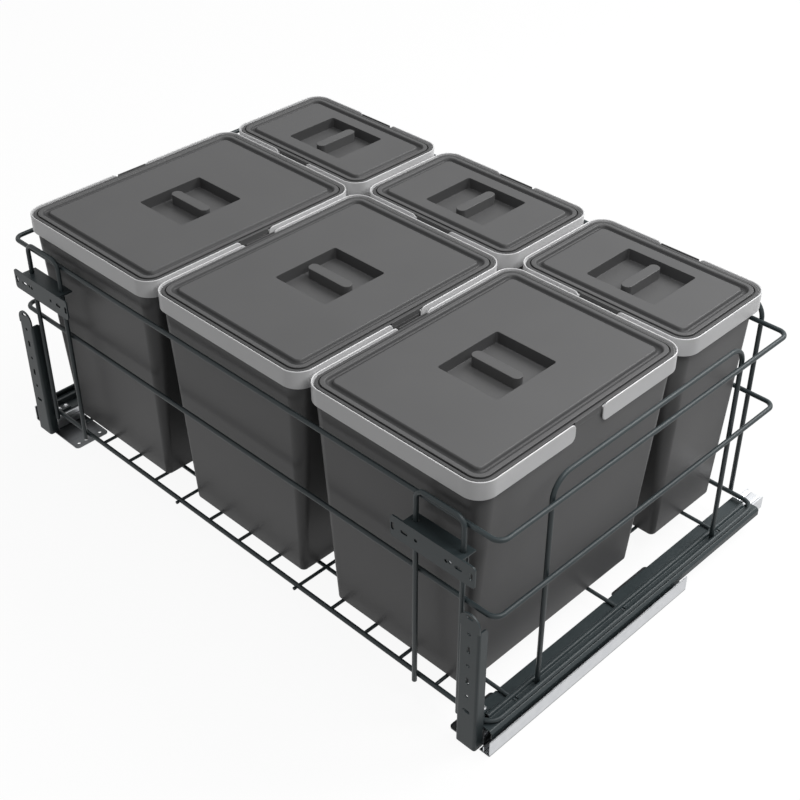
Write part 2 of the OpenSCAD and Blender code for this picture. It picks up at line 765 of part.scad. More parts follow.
module bin(rim, turned, gap_l) {
    top = rim - [2, 2] * rim_overhang;
    strip = [gap_l - 2 * strip_clearance, rim_h - 2 * strip_clearance];
    strip_t = rim_t - strip_clearance;
    block_h = bin_top_z - rim_low_z - strip_clearance;
    difference() {
        bin_shape(top, bin_base_z, bin_top_z, 0);
        bin_shape(top, bin_base_z + bin_t, bin_top_z + bin_t, bin_t);
    }
    at_gaps(rim, turned, rim_overhang + bin_t / 2 - strip_t - weld_gap, strip_t + weld_gap)
        translate([0, (block_h - strip.y) / 2]) square([strip.x, block_h], center = true);
    at_gaps(rim, turned, strip_t, 0) square(strip, center = true);
}

// Rim: a band round the bin's top edge with a ledge inside that the lid rests on
module rim(rim, turned, gap_l) {
    inside = rim - [2, 2] * rim_t;
    difference() {
        translate([0, 0, rim_low_z]) linear_extrude(rim_h) difference() {
            rounded_rect(rim, rim_corner_r);
            rounded_rect(inside, rim_corner_r - rim_t);
        }
        at_gaps(rim, turned, rim_t + 2 * seat_gap, -seat_gap) gap_2d(gap_l);
    }
    translate([0, 0, ledge_low_z]) linear_extrude(ledge_t) difference() {
        rounded_rect(inside, rim_corner_r - rim_t);
        rounded_rect(inside - [2, 2] * ledge_w, rim_corner_r - rim_t - ledge_w);
    }
}

// Lid: a flat plate with a shallow groove near its edge, and a recess with a grip bar
module lid(rim, recess, turned) {
    sides = rim - [2, 2] * (rim_t + lid_gap);
    corner = rim_corner_r - rim_t - lid_gap;
    groove_out = sides - [2, 2] * groove_inset;
    groove_in = groove_out - [2, 2] * groove_w;
    floor_z = lid_top_z - recess_depth;
    grip_l = (turned ? recess.y : recess.x) - 2 * grip_end_gap;
    difference() {
        union() {
            translate([0, 0, lid_low_z]) linear_extrude(lid_t) rounded_rect(sides, corner);
            translate([0, 0, floor_z - recess_t]) linear_extrude(recess_depth + recess_t - lid_t)
                square(recess + [2, 2] * recess_t, center = true);
        }
        translate([0, 0, lid_top_z - groove_depth]) linear_extrude(overrun) difference() {
            rounded_rect(groove_out, groove_outer_r);
            rounded_rect(groove_in, groove_inner_r);
        }
        translate([0, 0, floor_z]) linear_extrude(recess_depth + overrun) square(recess, center = true);
    }
    translate([0, 0, floor_z]) linear_extrude(recess_depth)
        rotate(turned ? 90 : 0) slot_2d(grip_l, grip_w);
}

module large_at(i) {
    translate([i * bin_pitch, large_y, 0]) children();
}

module small_at(i) {
    translate([i * bin_pitch, small_y, 0]) children();
}

module large_bin(i) { color(bin_colour) large_at(i) bin(large_sides, false, large_gap_l); }
module small_bin(i) { color(bin_colour) small_at(i) bin(small_sides, true, small_gap_l); }
module large_rim(i) { color(rim_colour) large_at(i) rim(large_sides, false, large_gap_l); }
module small_rim(i) { color(rim_colour) small_at(i) rim(small_sides, true, small_gap_l); }
module large_lid(i) { color(lid_colour) large_at(i) lid(large_sides, large_recess, false); }
module small_lid(i) { color(lid_colour) small_at(i) lid(small_sides, small_recess, true); }

color(zinc_colour) on_side(-1) cabinet_rail(wide_flange_reach, wide_flange_l, flange_hole_count);  // left_cabinet_rail
color(zinc_colour) on_side(1) cabinet_rail(flange_reach, flange_l, 2);  // right_cabinet_rail
color(zinc_colour) on_side(-1) middle_rail();  // left_middle_rail
color(zinc_colour) on_side(1) middle_rail();  // right_middle_rail
color(cage_colour) on_side(-1) ball_cage(low_cage_y0, low_cage_y1, low_ball_z);  // left_lower_ball_cage
color(cage_colour) on_side(1) ball_cage(low_cage_y0, low_cage_y1, low_ball_z);  // right_lower_ball_cage
color(zinc_colour) on_side(-1) balls(low_cage_y0, low_cage_y1, low_ball_z);  // left_lower_balls
color(zinc_colour) on_side(1) balls(low_cage_y0, low_cage_y1, low_ball_z);  // right_lower_balls
color(cage_colour) on_side(-1) ball_cage(high_cage_y0, high_cage_y1, high_ball_z);  // left_upper_ball_cage
color(cage_colour) on_side(1) ball_cage(high_cage_y0, high_cage_y1, high_ball_z);  // right_upper_ball_cage
color(zinc_colour) on_side(-1) balls(high_cage_y0, high_cage_y1, high_ball_z);  // left_upper_balls
color(zinc_colour) on_side(1) balls(high_cage_y0, high_cage_y1, high_ball_z);  // right_upper_balls
color(zinc_colour) on_side(-1) drawer_rail();  // left_drawer_rail
color(zinc_colour) on_side(1) drawer_rail();  // right_drawer_rail
color(frame_colour) on_side(-1) side_profile();  // left_side_profile
color(frame_colour) on_side(1) side_profile();  // right_side_profile
color(frame_colour) wire_ring(low_ring_z, low_corner_r);  // bottom_ring
color(frame_colour) wire_ring(mid_ring_z, high_corner_r);  // middle_ring
color(frame_colour) wire_ring(top_ring_z, high_corner_r);  // top_ring
color(frame_colour) floor_wires();
color(frame_colour) cross_wires();
color(frame_colour) on_side(-1) side_hoop();  // left_side_hoop
color(frame_colour) on_side(1) side_hoop();  // right_side_hoop
color(frame_colour) translate([0, rear_y + wire_step, 0])  // rear_hoop
        wire_hoop(rear_hoop_span, foot_z - wire_r, side_hoop_z, hoop_bend_r);
color(frame_colour) on_side(-1) front_hoop();  // left_front_hoop
color(frame_colour) on_side(1) front_hoop();  // right_front_hoop
color(frame_colour) on_side(-1) lower_bracket();  // left_lower_bracket
color(frame_colour) on_side(1) lower_bracket();  // right_lower_bracket
color(zinc_colour) bracket_rivets();
color(frame_colour) on_side(-1) upper_bracket();  // left_upper_bracket
color(frame_colour) on_side(1) upper_bracket();  // right_upper_bracket
color(frame_colour) on_side(-1) clamp_plate();  // left_clamp_plate
color(frame_colour) on_side(1) clamp_plate();  // right_clamp_plate
color(zinc_colour) on_side(-1) clamp_screw();  // left_clamp_screw
color(zinc_colour) on_side(1) clamp_screw();  // right_clamp_screw
large_bin(-1);  // left_large_bin
large_bin(0);  // centre_large_bin
large_bin(1);  // right_large_bin
small_bin(-1);  // left_small_bin
small_bin(0);  // centre_small_bin
small_bin(1);  // right_small_bin
large_rim(-1);  // left_large_rim
large_rim(0);  // centre_large_rim
large_rim(1);  // right_large_rim
small_rim(-1);  // left_small_rim
small_rim(0);  // centre_small_rim
small_rim(1);  // right_small_rim
large_lid(-1);  // left_large_lid
large_lid(0);  // centre_large_lid
large_lid(1);  // right_large_lid
small_lid(-1);  // left_small_lid
small_lid(0);  // centre_small_lid
small_lid(1);  // right_small_lid
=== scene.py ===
from math import cos, pi, radians, sin

import bmesh
import bpy
from mathutils import Matrix, Vector


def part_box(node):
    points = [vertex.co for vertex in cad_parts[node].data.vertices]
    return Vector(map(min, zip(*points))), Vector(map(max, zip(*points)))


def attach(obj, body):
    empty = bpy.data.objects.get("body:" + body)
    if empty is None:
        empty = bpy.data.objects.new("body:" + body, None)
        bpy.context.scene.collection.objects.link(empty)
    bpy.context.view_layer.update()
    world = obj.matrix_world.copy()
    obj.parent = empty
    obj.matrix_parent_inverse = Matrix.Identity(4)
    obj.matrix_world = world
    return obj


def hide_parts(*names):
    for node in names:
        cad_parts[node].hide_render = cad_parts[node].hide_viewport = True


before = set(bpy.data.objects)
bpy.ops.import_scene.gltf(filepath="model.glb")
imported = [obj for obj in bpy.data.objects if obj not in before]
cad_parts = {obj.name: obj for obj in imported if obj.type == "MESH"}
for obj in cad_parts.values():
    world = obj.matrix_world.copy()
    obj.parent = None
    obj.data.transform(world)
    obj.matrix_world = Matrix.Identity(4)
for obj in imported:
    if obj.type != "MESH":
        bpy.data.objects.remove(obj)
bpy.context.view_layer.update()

MM = 0.001

# Runners. Three zinc-plated rails on each side, rolled from strip, telescope on two rows of
# steel balls. Only their plating is made here: a bright metal with faint streaks along the
# strip and a cloudy spangle. A dark reflection is painted into the zinc's colour on the flanges
# that are screwed to the cabinet floor.
SIDES = ("left", "right")
ZINC = (0.62, 0.63, 0.645)
ZINC_SHADE = (0.565, 0.578, 0.598)
SPANGLE_SCALE = 90
STREAK_SCALE = 420
STREAK_STRETCH = (1, 0.03, 1)
STREAK_ROUGHNESS = (0.28, 0.42)
NOISE_LOW, NOISE_HIGH = 0.3, 0.7
FLANGE_PAINTED_REFLECTION = (0.13, 0.135, 0.14)
FLANGE_TOP = 2.6 * MM
FLANGE_FADE = 1 * MM


def new_material(name, colour, metallic, roughness, specular=0.5):
    """Makes a material whose values are the same all over."""
    made = bpy.data.materials.new(name)
    made.use_nodes = True
    shader = made.node_tree.nodes["Principled BSDF"]
    shader.inputs["Base Color"].default_value = (*colour, 1)
    shader.inputs["Metallic"].default_value = metallic
    shader.inputs["Roughness"].default_value = roughness
    shader.inputs["Specular IOR Level"].default_value = specular
    return made


def object_noise(material, scale, detail, stretch=(1, 1, 1)):
    """A noise that is fixed to the piece's own coordinates."""
    nodes, links = material.node_tree.nodes, material.node_tree.links
    place = nodes.new("ShaderNodeTexCoord")
    mapping = nodes.new("ShaderNodeMapping")
    mapping.inputs["Scale"].default_value = stretch
    noise = nodes.new("ShaderNodeTexNoise")
    noise.inputs["Scale"].default_value = scale
    noise.inputs["Detail"].default_value = detail
    links.new(place.outputs["Object"], mapping.inputs["Vector"])
    links.new(mapping.outputs["Vector"], noise.inputs["Vector"])
    return noise.outputs["Fac"]


def spread(material, factor, low, high):
    """Stretches a noise round its middle and maps it to the values low to high."""
    nodes, links = material.node_tree.nodes, material.node_tree.links
    ramp = nodes.new("ShaderNodeMapRange")
    ramp.inputs["From Min"].default_value = NOISE_LOW
    ramp.inputs["From Max"].default_value = NOISE_HIGH
    ramp.inputs["To Min"].default_value = low
    ramp.inputs["To Max"].default_value = high
    links.new(factor, ramp.inputs["Value"])
    return ramp.outputs["Result"]


def tint(material, factor, low, high):
    """Mixes the base colour between two near shades."""
    nodes, links = material.node_tree.nodes, material.node_tree.links
    mix = nodes.new("ShaderNodeMix")
    mix.data_type = "RGBA"
    mix.inputs["A"].default_value = (*low, 1)
    mix.inputs["B"].default_value = (*high, 1)
    links.new(spread(material, factor, 0, 1), mix.inputs["Factor"])
    links.new(mix.outputs["Result"], nodes["Principled BSDF"].inputs["Base Color"])


def grain(material, factor, strength, depth):
    """Raises the surface by a noise, depth metres at most."""
    nodes, links = material.node_tree.nodes, material.node_tree.links
    bump = nodes.new("ShaderNodeBump")
    bump.inputs["Strength"].default_value = strength
    bump.inputs["Distance"].default_value = depth
    links.new(factor, bump.inputs["Height"])
    links.new(bump.outputs["Normal"], nodes["Principled BSDF"].inputs["Normal"])


def paint_shade(material, share, shade):
    """Paints a darker tone into the base colour, by a share from zero to one, as painted shade and
    dark reflections.
    """
    nodes, links = material.node_tree.nodes, material.node_tree.links
    base = nodes["Principled BSDF"].inputs["Base Color"]
    bright = base.links[0].from_socket
    mix = nodes.new("ShaderNodeMix")
    mix.data_type = "RGBA"
    mix.inputs["B"].default_value = (*shade, 1)
    links.new(share, mix.inputs["Factor"])
    links.new(bright, mix.inputs["A"])
    links.new(mix.outputs["Result"], base)


def finish_node(name, material):
    """Gives a node of the frame, whose shape stays as it is, its finish."""
    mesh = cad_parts[name].data
    mesh.materials.clear()
    mesh.materials.append(material)


zinc = new_material("zinc_plate", ZINC, metallic=1.0, roughness=0.34)
tint(zinc, object_noise(zinc, SPANGLE_SCALE, detail=3), ZINC_SHADE, ZINC)
streaks = object_noise(zinc, STREAK_SCALE, detail=2, stretch=STREAK_STRETCH)
zinc.node_tree.links.new(spread(zinc, streaks, *STREAK_ROUGHNESS),
                         zinc.node_tree.nodes["Principled BSDF"].inputs["Roughness"])
grain(zinc, streaks, strength=0.25, depth=0.05 * MM)

# Painted reflection: the cabinet rails' zinc is mixed towards a dark tone on the low flanges, a
# painted dark reflection.
rail_zinc = zinc.copy()
rail_zinc.name = "zinc_rail_painted_reflection"
nodes, links = rail_zinc.node_tree.nodes, rail_zinc.node_tree.links
place = nodes.new("ShaderNodeTexCoord")
height = nodes.new("ShaderNodeSeparateXYZ")
flange_reflection_share = nodes.new("ShaderNodeMapRange")
flange_reflection_share.inputs["From Min"].default_value = FLANGE_TOP + FLANGE_FADE
flange_reflection_share.inputs["From Max"].default_value = FLANGE_TOP
links.new(place.outputs["Object"], height.inputs["Vector"])
links.new(height.outputs["Z"], flange_reflection_share.inputs["Value"])
paint_shade(rail_zinc, flange_reflection_share.outputs["Result"], FLANGE_PAINTED_REFLECTION)

for side in SIDES:
    for rail in ("cabinet_rail", "middle_rail", "drawer_rail"):
        finish_node(f"{side}_{rail}", rail_zinc if rail == "cabinet_rail" else zinc)

# Balls and cages. Polished steel balls run in thin moulded cages between the rails. They
# show only at the ends of the rails, when the basket is pulled out.
BALL_STEEL = (0.70, 0.70, 0.72)
BALL_STEEL_SHADE = (0.62, 0.62, 0.65)
CAGE_GREEN = (0.035, 0.07, 0.045)

ball_steel = new_material("ball_steel", BALL_STEEL, metallic=1.0, roughness=0.12)
tint(ball_steel, object_noise(ball_steel, 300, detail=1), BALL_STEEL_SHADE, BALL_STEEL)
cage_plastic = new_material("cage_plastic", CAGE_GREEN, metallic=0.0, roughness=0.5)
grain(cage_plastic, object_noise(cage_plastic, 1800, detail=2), strength=0.3, depth=0.04 * MM)

for side in SIDES:
    for level in ("lower", "upper"):
        finish_node(f"{side}_{level}_ball_cage", cage_plastic)
        finish_node(f"{side}_{level}_balls", ball_steel)

# Side profiles and brackets. Pressed from steel strip and powder coated in anthracite with a
# fine orange-peel texture. They keep their exact folds, notches and slots.
POWDER = (0.028, 0.038, 0.041)
POWDER_DARK = (0.024, 0.033, 0.036)
PATCH_SCALE = 35
PEEL_SCALE = 1400

powder = new_material("powder_coat", POWDER, metallic=0.0, roughness=0.42, specular=0.32)
tint(powder, object_noise(powder, PATCH_SCALE, detail=2), POWDER_DARK, POWDER)
grain(powder, object_noise(powder, PEEL_SCALE, detail=2), strength=0.35, depth=0.06 * MM)

for side in SIDES:
    for piece in ("side_profile", "lower_bracket", "upper_bracket", "clamp_plate"):
        finish_node(f"{side}_{piece}", powder)

# Clamp screws and rivets. Small zinc-plated steel fasteners. A screw with a cross recess pulls
# each clamp plate against the legs of its hoop, and rivets hold the feet of the two lower
# brackets to the side profiles.
finish_node("bracket_rivets", zinc)
for side in SIDES:
    finish_node(f"{side}_clamp_screw", zinc)

# Wire rings. Three closed rings of round steel wire, bent at four corners, the upper two more
# tightly, welded at a butt and powder coated like the rest of the basket. Each is drawn out
# from one wire circle.
WIRE_SIDES = 20
BEND_STEPS = 10
WIRE_MERGE = 0.02 * MM
WIRE_CUT = 0.5 * MM
WIRE_SMOOTH = radians(35)
LOW_CORNER = 18 * MM
HIGH_CORNER = 12 * MM
RINGS = (("bottom_ring", LOW_CORNER), ("middle_ring", HIGH_CORNER), ("top_ring", HIGH_CORNER))


def start_wire(name, at, heading, radius):
    """Adds an open circle of wire that faces along heading, ready to be drawn out."""
    bpy.ops.object.select_all(action="DESELECT")
    turn = Vector(heading).to_track_quat("Z", "Y").to_euler()
    bpy.ops.mesh.primitive_circle_add(vertices=WIRE_SIDES, radius=radius, fill_type="NOTHING",
                                      location=at, rotation=turn)
    made = bpy.context.object
    made.name = name
    bpy.ops.object.transform_apply(location=True, rotation=True, scale=True)
    bpy.ops.object.mode_set(mode="EDIT")
    bpy.ops.mesh.select_all(action="SELECT")
    return made


def draw_wire(at, heading, moves):
    """Draws the open end of a wire through straight runs and quarter bends.

    A move is a length, or a bend as (radius, axis)."""
    at, heading = Vector(at), Vector(heading).normalized()
    for move in moves:
        if isinstance(move, tuple):
            radius, axis = move[0], Vector(move[1])
            centre = at + axis.cross(heading) * radius
            bpy.ops.mesh.spin(steps=BEND_STEPS, angle=-pi / 2, center=centre, axis=axis)
            heading = Matrix.Rotation(pi / 2, 3, axis) @ heading
            at = centre - axis.cross(heading) * radius
        else:
            bpy.ops.mesh.extrude_region_move(
                TRANSFORM_OT_translate={"value": heading * move})
            at = at + heading * move


def end_wire(made, closed):
    """Closes a wire on itself, or caps its cut ends and eases their edges."""
    bpy.ops.mesh.select_all(action="SELECT")
    bpy.ops.mesh.remove_doubles(threshold=WIRE_MERGE)
    if not closed:
        bpy.ops.mesh.select_mode(type="EDGE")
        bpy.ops.mesh.select_all(action="DESELECT")
        bpy.ops.mesh.select_non_manifold()
        bpy.ops.mesh.fill_holes(sides=0)
        bpy.ops.mesh.bevel(offset=WIRE_CUT, segments=2)
    bpy.ops.mesh.select_all(action="SELECT")
    bpy.ops.mesh.normals_make_consistent(inside=False)
    bpy.ops.object.mode_set(mode="OBJECT")
    bpy.ops.object.shade_smooth_by_angle(angle=WIRE_SMOOTH)
    return made


def dress(made, material, body, node):
    """Gives a finished piece its material, ties it to its body, and hides its node."""
    made.data.materials.clear()
    made.data.materials.append(material)
    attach(made, body)
    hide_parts(node)


for ring, corner in RINGS:
    low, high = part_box(ring)
    radius = (high.z - low.z) / 2
    wide = high.x - low.x - 2 * radius
    deep = high.y - low.y - 2 * radius
    at = Vector(((low.x + high.x) / 2, low.y + radius, low.z + radius))
    made = start_wire("wire_" + ring, at, (1, 0, 0), radius)
    bend = (corner, (0, 0, 1))
    draw_wire(at, (1, 0, 0), [wide / 2 - corner, bend, deep - 2 * corner, bend,
                              wide - 2 * corner, bend, deep - 2 * corner, bend,
                              wide / 2 - corner])
    dress(end_wire(made, True), powder, "basket", ring)

# Floor and cross wires. Thirteen thin wires run from front to back and carry the bins. They
# are butt-welded to the lowest ring, and three cross wires under them reach into the side
# profiles. Two stubs stand out in front of the ring.
WIRE_R = 3 * MM
WELD_GAP = 0.1 * MM
FLOOR_WIRES = 13
FLOOR_PITCH = 56.2 * MM
STUB_PLACES = (-2, 2)
STUB_LENGTH = 4 * MM
CROSS_YS = (50 * MM, 244 * MM, 438 * MM)


def join_pieces(pieces, name):
    """Joins finished pieces into one."""
    bpy.ops.object.select_all(action="DESELECT")
    for piece in pieces:
        piece.select_set(True)
    bpy.context.view_layer.objects.active = pieces[0]
    bpy.ops.object.join()
    pieces[0].name = name
    return pieces[0]


def straight_wire(name, at, heading, length, radius):
    """Makes a cut length of wire, with its edges eased."""
    made = start_wire(name, at, heading, radius)
    draw_wire(at, heading, [length])
    return end_wire(made, False)


low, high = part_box("floor_wires")
floor_r = (high.z - low.z) / 2
ring_low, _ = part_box("bottom_ring")
front_wire_y = ring_low.y + WIRE_R
floor_start = front_wire_y + WIRE_R + WELD_GAP
floor_z = low.z + floor_r
wires = []
for i in range(FLOOR_WIRES):
    x = (i - (FLOOR_WIRES - 1) / 2) * FLOOR_PITCH
    wires.append(straight_wire("floor_wire", (x, floor_start, floor_z), (0, 1, 0),
                               high.y - floor_start, floor_r))
for i in STUB_PLACES:
    wires.append(straight_wire("stub", (i * FLOOR_PITCH, low.y, floor_z), (0, 1, 0),
                               STUB_LENGTH, floor_r))
dress(join_pieces(wires, "wire_floor"), powder, "basket", "floor_wires")

low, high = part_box("cross_wires")
cross_r = (high.z - low.z) / 2
wires = [straight_wire("cross_wire", (low.x, front_wire_y + y, low.z + cross_r), (1, 0, 0),
                       high.x - low.x, cross_r) for y in CROSS_YS]
dress(join_pieces(wires, "wire_cross"), powder, "basket", "cross_wires")

# Hoops. Five U-shaped wires stand upside down against the rings and are welded to them: one
# at each side, one at the rear and two narrow ones at the front for the upper brackets.
WIDE_BEND = 25 * MM
NARROW_BEND = 12 * MM
HOOPS = (("left_side_hoop", (0, 1, 0), WIDE_BEND), ("right_side_hoop", (0, 1, 0), WIDE_BEND),
         ("rear_hoop", (1, 0, 0), WIDE_BEND),
         ("left_front_hoop", (1, 0, 0), NARROW_BEND), ("right_front_hoop", (1, 0, 0), NARROW_BEND))

for hoop, across, bend in HOOPS:
    low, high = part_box(hoop)
    across = Vector(across)
    foot = low + Vector((WIRE_R, WIRE_R, 0))
    span = (high - low).dot(across) - 2 * WIRE_R
    rise = high.z - low.z - WIRE_R - bend
    turn = Vector((0, 0, 1)).cross(across)
    made = start_wire("wire_" + hoop, foot, (0, 0, 1), WIRE_R)
    draw_wire(foot, (0, 0, 1), [rise, (bend, turn), span - 2 * bend, (bend, turn), rise])
    dress(end_wire(made, False), powder, "basket", hoop)

# Bins. Six tapered tubs of dark grey plastic, injection moulded, whose corners grow tighter
# towards the base and whose walls lean in, each by its own amount. A thin tab at two sides of
# each tub stands up into the gap of its rim.
COLUMNS = ("centre", "left", "right")
BIN_GREY = (0.092, 0.092, 0.093)
BIN_GREY_LIGHT = (0.099, 0.099, 0.100)
MOULD_SCALE = 2200
BIN_WALL = 2 * MM
BIN_BASE_CORNER = 7 * MM
BASE_EDGE = 3.5 * MM
BASE_STEPS = 4
TOP_EDGE = 0.2 * MM
BIN_BELOW = 7.2 * MM
TAB_WALL = 1 * MM
TAB_BELOW = 0.6 * MM
RIM_OVER = 1.9 * MM
RIM_CORNER = 24 * MM
# The gap in a rim: its width, and the axis that it faces along.
GAPS = {"large": (45 * MM, 0), "small": (55 * MM, 1)}
# How far a tub's sides, front and rear lie inside its rim's line, in mm, at the top and base.
TUB_LEANS = {"large": ((0, 3, 6), (23.5, 14.5, 23.5)), "small": ((6, 0, 0), (21.5, 18.5, 18.5))}
CORNER_STEPS = 12
HAIR = 0.005 * MM
FACES_UP = 0.9
PIECE_SMOOTH = radians(40)

bin_plastic = new_material("bin_plastic", BIN_GREY, metallic=0.0, roughness=0.38, specular=0.18)
tint(bin_plastic, object_noise(bin_plastic, 8, detail=2), BIN_GREY, BIN_GREY_LIGHT)
grain(bin_plastic, object_noise(bin_plastic, MOULD_SCALE, detail=2), strength=0.2, depth=0.04 * MM)


def skin(name, centre, loops):
    """Makes a closed piece from rounded rectangles, each joined to the next.

    A loop is (half width, half depth, corner radius, height), and may end with how far it is
    moved to the rear. Both ends are filled. Loops at one height are set a hair apart, because
    a bridge within one plane can come out twisted."""
    hair = 0
    bpy.ops.object.select_all(action="DESELECT")
    for number, (wide, deep, corner, height, *shift) in enumerate(loops):
        level = number > 0 and abs(height - loops[number - 1][3]) < HAIR
        hair = hair + HAIR if level else 0
        height -= hair
        middle = (centre.x, centre.y + sum(shift), height)
        bpy.ops.mesh.primitive_plane_add(size=2, location=middle)
        if number == 0:
            made = bpy.context.object
            made.name = name
            bpy.ops.object.transform_apply(location=True, rotation=True, scale=True)
            bpy.ops.object.mode_set(mode="EDIT")
            bpy.ops.mesh.select_mode(type="VERT")
            bpy.ops.mesh.select_all(action="SELECT")
        bpy.ops.transform.resize(value=(wide, deep, 1), center_override=middle)
        bpy.ops.mesh.bevel(offset=corner, segments=CORNER_STEPS, affect="VERTICES")
        if number > 0:
            bpy.ops.mesh.delete(type="ONLY_FACE")
            bpy.ops.mesh.select_all(action="DESELECT")
            bpy.ops.mesh.select_non_manifold()
            bpy.ops.mesh.bridge_edge_loops()
    bpy.ops.mesh.select_all(action="DESELECT")
    bpy.ops.mesh.select_non_manifold()
    bpy.ops.mesh.edge_face_add()
    bpy.ops.mesh.select_all(action="SELECT")
    bpy.ops.mesh.normals_make_consistent(inside=False)
    return made


def pick_faces(made, test):
    """Selects the faces of the piece in hand whose middle and normal pass a test."""
    bpy.ops.mesh.select_mode(type="FACE")
    bpy.ops.mesh.select_all(action="DESELECT")
    shape = bmesh.from_edit_mesh(made.data)
    for face in shape.faces:
        face.select_set(test(face.calc_center_median(), face.normal))
    shape.select_flush_mode()
    bmesh.update_edit_mesh(made.data)


def cut_at_gap(centre, gap, axis):
    """Cuts the piece in hand across at both ends of the gap."""
    cut_way = Vector((0, 1, 0)) if axis == 0 else Vector((1, 0, 0))
    for way in (-1, 1):
        bpy.ops.mesh.select_all(action="SELECT")
        bpy.ops.mesh.bisect(plane_co=centre + cut_way * way * gap / 2, plane_no=cut_way)


def apply_modifier(made, kind, **settings):
    """Adds a modifier with its settings, and applies it."""
    bpy.context.view_layer.objects.active = made
    modifier = made.modifiers.new(kind, kind)
    for key, value in settings.items():
        setattr(modifier, key, value)
    bpy.ops.object.modifier_apply(modifier=modifier.name)


def finish_piece(made):
    """Leaves edit mode and shades the piece, with its flat faces kept flat."""
    bpy.ops.object.mode_set(mode="OBJECT")
    bpy.ops.object.shade_smooth_by_angle(angle=PIECE_SMOOTH)
    apply_modifier(made, "WEIGHTED_NORMAL", keep_sharp=True, weight=100)
    return made


def copy_piece(made, name, shift):
    """Copies a finished piece, with its own mesh, to another column."""
    bpy.ops.object.select_all(action="DESELECT")
    made.select_set(True)
    bpy.context.view_layer.objects.active = made
    bpy.ops.object.duplicate(linked=False)
    bpy.ops.transform.translate(value=shift)
    bpy.ops.object.transform_apply(location=True, rotation=True, scale=True)
    bpy.context.object.name = name
    return bpy.context.object


def fill_columns(model, name, kind, material):
    """Copies the centre column's piece to the other columns, and dresses all three."""
    start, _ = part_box("centre_" + kind)
    for column in COLUMNS:
        node = f"{column}_{kind}"
        low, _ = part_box(node)
        made = model if column == "centre" else copy_piece(model, name + node, low - start)
        dress(made, material, node + "_body", node)


def make_bin(name, low, high, top, gap, axis, leans):
    """Skins a tub between the corners low and high, whose tabs reach up to top."""
    centre, half = (low + high) / 2, (high - low) / 2
    height = high.z - low.z
    corner = RIM_CORNER - RIM_OVER

    def ring(inset, z):
        share = (high.z - z) / height
        side, front, rear = (MM * (a + (b - a) * share) for a, b in zip(*leans))
        radius = corner + (BIN_BASE_CORNER - corner) * share - inset
        return (half.x - side - inset, half.y - (front + rear) / 2 - inset, radius, z,
                (front - rear) / 2)

    turns = [pi / 2 * i / BASE_STEPS for i in range(BASE_STEPS + 1)]
    loops = [ring(BASE_EDGE * (1 - sin(turn)), low.z + BASE_EDGE * (1 - cos(turn)))
             for turn in turns]
    loops += [ring(0, high.z - TOP_EDGE), ring(TOP_EDGE, high.z),
              ring(TOP_EDGE + TAB_WALL, high.z), ring(BIN_WALL - TOP_EDGE, high.z),
              ring(BIN_WALL, high.z - TOP_EDGE), ring(BIN_WALL, low.z + BIN_WALL + BASE_EDGE),
              ring(BIN_WALL + BASE_EDGE / 4, low.z + BIN_WALL + BASE_EDGE / 4),
              ring(BIN_WALL + BASE_EDGE, low.z + BIN_WALL)]
    made = skin(name, centre, loops)
    cut_at_gap(centre, gap, axis)
    reach = half[axis] - TOP_EDGE - TAB_WALL - HAIR
    pick_faces(made, lambda at, normal: normal.z > FACES_UP and abs(at.z - high.z) < 2 * HAIR
               and abs((at - centre)[axis]) > reach and abs((at - centre)[1 - axis]) < gap / 2)
    bpy.ops.mesh.extrude_region_move(TRANSFORM_OT_translate={"value": (0, 0, top - high.z)})
    return finish_piece(made)


for size, (gap, axis) in GAPS.items():
    low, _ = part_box(f"centre_{size}_bin")
    rim_low, rim_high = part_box(f"centre_{size}_rim")
    inset = Vector((RIM_OVER, RIM_OVER, 0))
    model = make_bin(f"tub_centre_{size}_bin", Vector((rim_low.x, rim_low.y, low.z)) + inset,
                     Vector((rim_high.x, rim_high.y, rim_high.z - BIN_BELOW)) - inset,
                     rim_high.z - TAB_BELOW, gap, axis, TUB_LEANS[size])
    fill_columns(model, "tub_", f"{size}_bin", bin_plastic)

# Rims. A light grey band, moulded in smoother plastic, hooks over the top edge of each bin
# and clamps the bag. A gap with rounded ends breaks it at two sides, and a ledge inside
# carries the lid.
RIM_GREY = (0.60, 0.60, 0.605)
RIM_GREY_SHADE = (0.57, 0.57, 0.575)
RIM_WALL = 1.7 * MM
RIM_EDGE = 0.8 * MM
EDGE_STEPS = 3
GAP_CORNER = 7.5 * MM
GAP_CORNER_STEPS = 9
GAP_CLEAR = 1 * MM
TAB_ROOM = 3.4 * MM
LEDGE = 9 * MM
LEDGE_T = 3 * MM
LEDGE_DROP = 4.1 * MM

rim_plastic = new_material("rim_plastic", RIM_GREY, metallic=0.0, roughness=0.32)
tint(rim_plastic, object_noise(rim_plastic, 12, detail=2), RIM_GREY_SHADE, RIM_GREY)
grain(rim_plastic, object_noise(rim_plastic, 2600, detail=2), strength=0.15, depth=0.04 * MM)


def rounded_plate(name, low, high, height, corner):
    """Adds a flat plate with rounded corners at a height, open for shaping."""
    bpy.ops.object.select_all(action="DESELECT")
    centre = (low + high) / 2
    bpy.ops.mesh.primitive_plane_add(size=1, location=(centre.x, centre.y, height))
    made = bpy.context.object
    made.name = name
    made.scale = (high.x - low.x, high.y - low.y, 1)
    bpy.ops.object.transform_apply(location=True, rotation=True, scale=True)
    bpy.ops.object.mode_set(mode="EDIT")
    bpy.ops.mesh.select_all(action="SELECT")
    bpy.ops.mesh.bevel(offset=corner, segments=CORNER_STEPS, affect="VERTICES")
    return made


def pick_gap_ends(made, centre, gap, along):
    """Selects the corners of the piece in hand at both ends of the gap."""
    bpy.ops.mesh.select_mode(type="VERT")
    bpy.ops.mesh.select_all(action="DESELECT")
    shape = bmesh.from_edit_mesh(made.data)
    for corner in shape.verts:
        corner.select_set(abs(abs((corner.co - centre)[along]) - gap / 2) < 2 * HAIR)
    shape.select_flush_mode()
    bmesh.update_edit_mesh(made.data)


